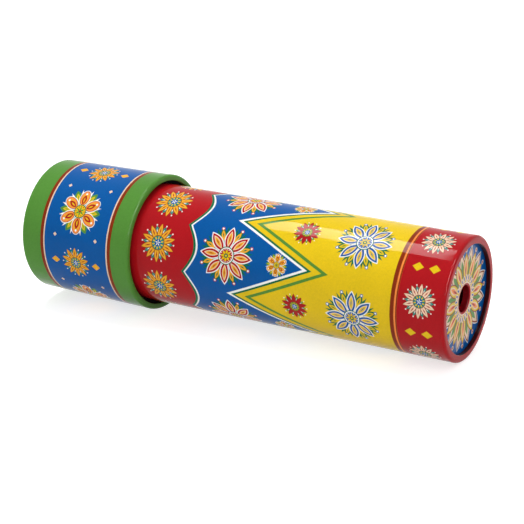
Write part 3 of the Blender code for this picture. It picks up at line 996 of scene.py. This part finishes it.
def skin_rows(bm, rows):
    """Faces between each closed row of points and the next."""
    for first, second in zip(rows, rows[1:]):
        for index in range(len(first)):
            after = (index + 1) % len(first)
            bm.faces.new((first[index], first[after], second[after], second[index]))


def softened(name, node, width, materials, body, slot, pick=None):
    """Copy of a node's solid with its edges rounded. Pick chooses a material by a face's normal."""
    bm = bmesh.new()
    bm.from_mesh(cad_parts[node].data)
    bmesh.ops.remove_doubles(bm, verts=bm.verts, dist=WELD * MM)
    bmesh.ops.dissolve_limit(bm, angle_limit=FLAT_ANGLE, verts=bm.verts, edges=bm.edges)
    for face in bm.faces:
        face.material_index = pick(face.normal) if pick else 0
    edges = [edge for edge in bm.edges if edge.calc_face_angle(0) > BEVEL_ANGLE]
    bmesh.ops.bevel(bm, geom=edges, offset=width * MM, segments=BEVEL_STEPS, profile=0.5,
                    affect="EDGES", clamp_overlap=True)
    return add_piece(name, bm, materials, body, slot, [node])


def make_barrel(print_tin, bare):
    """Tin tube: rolled rim at the eyepiece, folded seam at the back, bare inside."""
    outer, inner = rolled_rim(BARREL_RADIUS, EYE_RIM_WIDTH, EYE_LIP_DEPTH, EYE_EDGE_ROUND)
    end_outside = (BARREL_END, BARREL_RADIUS)
    end_inside = (BARREL_END, BARREL_RADIUS - TIN)
    runs = [(print_tin, [end_outside, *outer]),
            (bare, [outer[-1], *reversed(inner), end_inside, end_outside])]
    turn("barrel_tin", runs, "barrel", "printed_tin_barrel", "barrel_tube", seam=BARREL_SEAM,
         limits=(EYE_EDGE_ROUND, BARREL_END + SEAM_FADE))


def make_cap(print_tin, bare):
    """Tin cap with a rolled rim at each end."""
    mouth_outer, mouth_inner = rolled_rim(CAP_MOUTH_RADIUS, MOUTH_RIM_WIDTH, MOUTH_LIP_DEPTH, CAP_EDGE_ROUND)
    end_outer, end_inner = rolled_rim(CAP_END_RADIUS, END_RIM_WIDTH, END_LIP_DEPTH, CAP_EDGE_ROUND)
    mouth_outer, mouth_inner = [[(CAP_MOUTH + depth, radius) for depth, radius in skin]
                                for skin in (mouth_outer, mouth_inner)]
    end_outer, end_inner = [[(CAP_END - depth, radius) for depth, radius in skin]
                            for skin in (end_outer, end_inner)]
    runs = [(print_tin, [*reversed(end_outer), *mouth_outer]),
            (bare, [mouth_outer[-1], *reversed(mouth_inner), *end_inner, end_outer[-1]])]
    turn("cap_tin", runs, "turning_cap", "printed_tin_cap", "cap_shell", seam=CAP_SEAM,
         limits=(CAP_MOUTH + CAP_EDGE_ROUND, CAP_END - CAP_EDGE_ROUND))


def make_eyepiece(print_tin, bare):
    """Tin disc, turned back into a skirt at its rim and into a short collar at its peephole."""
    near, far = stations("eyepiece_disc")
    radius = outer_radius("eyepiece_disc")
    skirt = near + DISC_SKIRT
    hole = PEEPHOLE_RADIUS
    lip, bend = PEEPHOLE_LIP, DISC_BEND
    front = [(far, hole), *arc(near + lip, hole + lip, lip, 180, 90),
             *arc(near + bend, radius - bend, bend, 90, 0), (skirt, radius)]
    back = [(skirt, radius), (skirt, radius - TIN), *arc(near + bend, radius - bend, bend - TIN, 0, 90),
            *arc(near + lip, hole + lip, lip - TIN, 90, 180), (far, hole + TIN), (far, hole)]
    turn("eyepiece_tin", [(print_tin, front), (bare, back)], "barrel", "printed_tin_eyepiece",
         "eyepiece_disc")


def make_case(material):
    """Clear cup that holds the chips, open towards the frosted pane."""
    near, far = stations("chip_case")
    radius = outer_radius("chip_case")
    floor = near + CUP_WALL
    wall = radius - CUP_WALL
    lip = CUP_WALL / 2
    outline = [(near, 0), *reversed(arc(near + CUP_CORNER, radius - CUP_CORNER, CUP_CORNER, 0, 90)),
               *arc(far - lip, radius - lip, lip, 0, -180),
               *arc(floor + CUP_CORNER_INSIDE, wall - CUP_CORNER_INSIDE, CUP_CORNER_INSIDE, 0, 90),
               (floor, 0)]
    turn("chip_cup", [(material, outline)], "turning_cap", "clear_plastic", "chip_case")


def make_snap_ring(material):
    """Split ring of spring wire, open over a few degrees at the top."""
    section = ring_section("barrel_snap_ring", SNAP_RING_WIDTH, SNAP_WIRE_ROUND, WIRE_ARC_STEPS)
    start = math.radians(90 + SNAP_RING_GAP / 2)
    sweep = math.radians(360 - SNAP_RING_GAP)
    bm = bmesh.new()
    rows = [[bm.verts.new(mesh_point(station, reach, start + sweep * step / TURN_STEPS))
             for station, reach in section] for step in range(TURN_STEPS + 1)]
    skin_rows(bm, rows)
    bm.faces.new(rows[0])
    bm.faces.new(rows[-1])
    add_piece("snap_wire", bm, [material], "barrel", "spring_steel", ["barrel_snap_ring"])


def make_mirrors(silver, edge_glass, backing):
    """Three mirror strips with a bright face, green edges and a painted back."""
    axis = Vector((0, 0, AXIS_HEIGHT))
    for side in ("bottom", "left", "right"):
        node = "mirror_" + side
        inward = axis - middle_of(node)
        inward.x = 0
        inward.normalize()

        def pick(normal):
            """Bright face towards the axis, painted back away from it, and glass edges between."""
            facing = normal.dot(inward)
            return 0 if facing > MIRROR_FACING else 2 if facing < -MIRROR_FACING else 1

        softened(node + "_strip", node, MIRROR_BEVEL, [silver, edge_glass, backing], "barrel",
                 "mirror_glass", pick)


def make_bead(name, node, material):
    """Glass seed bead: a round bead with a hole along the tube's direction."""
    centre = middle_of(node)
    reach = min(high - low for low, high in zip(*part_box(node))) / 2
    hole = BEAD_HOLE * MM
    thickness = (reach - hole) / 2
    bm = bmesh.new()
    rows = []
    for step in range(BEAD_STEPS_AROUND):
        around = math.tau * step / BEAD_STEPS_AROUND
        points = []
        for index in range(BEAD_STEPS_ACROSS):
            angle = math.tau * index / BEAD_STEPS_ACROSS
            away = hole + thickness + thickness * math.cos(angle)
            along = reach * BEAD_LENGTH_SHARE * math.sin(angle)
            offset = Vector((along, math.cos(around) * away, math.sin(around) * away))
            points.append(bm.verts.new(centre + offset))
        rows.append(points)
    skin_rows(bm, rows + rows[:1])
    add_piece(name, bm, [material], "loose_chips", "bead_clear_plastic", [node])


def nodes_of(kind):
    """Names of the nodes of one kind, in order."""
    return sorted(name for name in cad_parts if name.startswith(kind))


def make_chips():
    """Tinted chips with softened edges, and clear beads."""
    for kind, tint in CHIP_TINTS.items():
        material = clear_plastic(kind + "_finish", tint, roughness=0.1, clarity=0.4, wave=0.04)
        for node in nodes_of(kind):
            softened(node + "_moulded", node, CHIP_BEVEL, [material], "loose_chips", kind + "_plastic")
    clear = clear_plastic("bead_finish", ink(244, 247, 250), roughness=0.03, clarity=1.0, wave=0.01)
    for node in nodes_of("bead_clear"):
        make_bead(node + "_blown", node, clear)


def make_object():
    """Every piece of the kaleidoscope in its finish."""
    bare = bare_metal("bare_tin", BARE_TIN, roughness=0.28)
    make_barrel(printed_tin("barrel_litho", barrel_print_and_shade, BARREL_RUBS), bare)
    make_cap(printed_tin("cap_litho", cap_print, CAP_RUBS), bare)
    make_eyepiece(printed_tin("eyepiece_litho", disc_print_and_shade), bare)
    clear = clear_plastic("clear_pane", ink(243, 246, 246), roughness=0.03, clarity=1.0, wave=0.02)
    frosted = clear_plastic("frosted_pane", ink(248, 249, 249), roughness=0.2, clarity=0.82, wave=0.03)
    black = moulded_plastic("black_ring", ink(9, 9, 10), roughness=0.8, ior=1.1)
    disc("eyepiece_glaze", "eyepiece_window", clear, "barrel", "clear_plastic")
    disc("barrel_end_glaze", "barrel_end_pane", clear, "barrel", "clear_plastic")
    disc("frosted_disc", "frosted_end_pane", frosted, "turning_cap", "frosted_plastic")
    make_case(clear)
    for name, node in (("retaining_collar", "cap_retaining_ring"), ("bearing_collar", "cap_bearing_ring")):
        width = outer_radius(node) - BARREL_RADIUS - TIN
        plain_ring(name, node, width, black, "barrel", "black_plastic")
    plain_ring("keeper_collar", "case_keeper_ring", KEEPER_WIDTH, black, "turning_cap", "black_plastic")
    make_snap_ring(bare_metal("spring_wire", ink(176, 178, 182), roughness=0.22))
    edge_glass = clear_plastic("mirror_edge_glass", ink(150, 206, 178), roughness=0.12, clarity=0.9,
                               wave=0.02)
    backing = moulded_plastic("mirror_back_paint", ink(96, 98, 102), roughness=0.5)
    make_mirrors(mirror_silver(), edge_glass, backing)
    card = grey_card()
    for node in ("mirror_card_wrap", "mirror_washer_eye", "mirror_washer_far"):
        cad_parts[node].material_slots[0].material = card
    make_chips()


def white_share(tree):
    """1 for the rays that show the background itself: camera, glossy and transmission rays."""
    path = add_node(tree, "ShaderNodeLightPath")
    seen = maths(tree, "MAXIMUM", Flow(path.outputs["Is Camera Ray"]), Flow(path.outputs["Is Glossy Ray"]))
    return maths(tree, "MAXIMUM", seen, Flow(path.outputs["Is Transmission Ray"]))


def make_floor():
    """White floor, which touches the cap's mouth and the eyepiece rim."""
    mouth_x = EYE_FACE - CAP_MOUTH * MM
    rise = (CAP_MOUTH_RADIUS - BARREL_RADIUS) * MM
    run = EYE_FACE - EYE_EDGE_ROUND * MM - mouth_x
    bm = bmesh.new()
    bmesh.ops.create_grid(bm, x_segments=2, y_segments=2, size=FLOOR_SIZE / 2)
    mesh = bpy.data.meshes.new("floor")
    bm.to_mesh(mesh)
    bm.free()
    floor = new_object("floor", mesh)
    floor.location = (mouth_x, 0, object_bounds()[0][2])
    floor.rotation_euler.y = -math.atan2(rise, run)
    material, tree, shader = start_material("floor_white", FLOOR_ROUGHNESS)
    feed(shader.inputs["Base Color"], FLOOR_COLOUR)
    feed(shader.inputs["Specular IOR Level"], 0.0)
    feed(shader.inputs["Emission Color"], PURE_WHITE)
    feed(shader.inputs["Emission Strength"], white_share(tree) * FLOOR_GLOW)
    mesh.materials.append(material)


def make_world():
    """White surroundings, dimmer as a light than they look."""
    world = bpy.data.worlds.new("studio")
    bpy.context.scene.world = world
    world.use_nodes = True
    tree = world.node_tree
    background = tree.nodes["Background"]
    feed(background.inputs["Color"], PURE_WHITE)
    feed(background.inputs["Strength"], white_share(tree) * (1 - WORLD_LIGHT) + WORLD_LIGHT)


def make_lamps():
    """Soft rectangular lamps, each turned about its own axis by its roll."""
    for name, place, aim, size, power, roll, left_out in LAMPS:
        lamp = bpy.data.lights.new(name, "AREA")
        lamp.shape = "RECTANGLE"
        lamp.size, lamp.size_y = size
        lamp.energy = power
        holder = new_object(name, lamp)
        holder.location = place
        away = Vector(place) - Vector(aim)
        facing = away.to_track_quat("Z", "Y") @ Quaternion((0, 0, 1), math.radians(roll))
        holder.rotation_euler = facing.to_euler()
        holder.visible_camera = False
        setattr(holder, "visible_" + left_out, False)


def make_camera():
    """Camera at the photograph's viewing angle."""
    camera = bpy.data.cameras.new("camera")
    camera.sensor_width = SENSOR
    camera.lens = LENS
    holder = new_object("camera", camera)
    back = Vector((math.sin(CAMERA_AZIMUTH) * math.cos(CAMERA_ELEVATION),
                   -math.cos(CAMERA_AZIMUTH) * math.cos(CAMERA_ELEVATION), math.sin(CAMERA_ELEVATION)))
    holder.location = CAMERA_PLACE
    holder.rotation_euler = back.to_track_quat("Z", "Y").to_euler()
    bpy.context.scene.camera = holder


bpy.context.scene.view_settings.view_transform = "Standard"
make_shared_groups()
make_object()
make_floor()
make_world()
make_lamps()
make_camera()
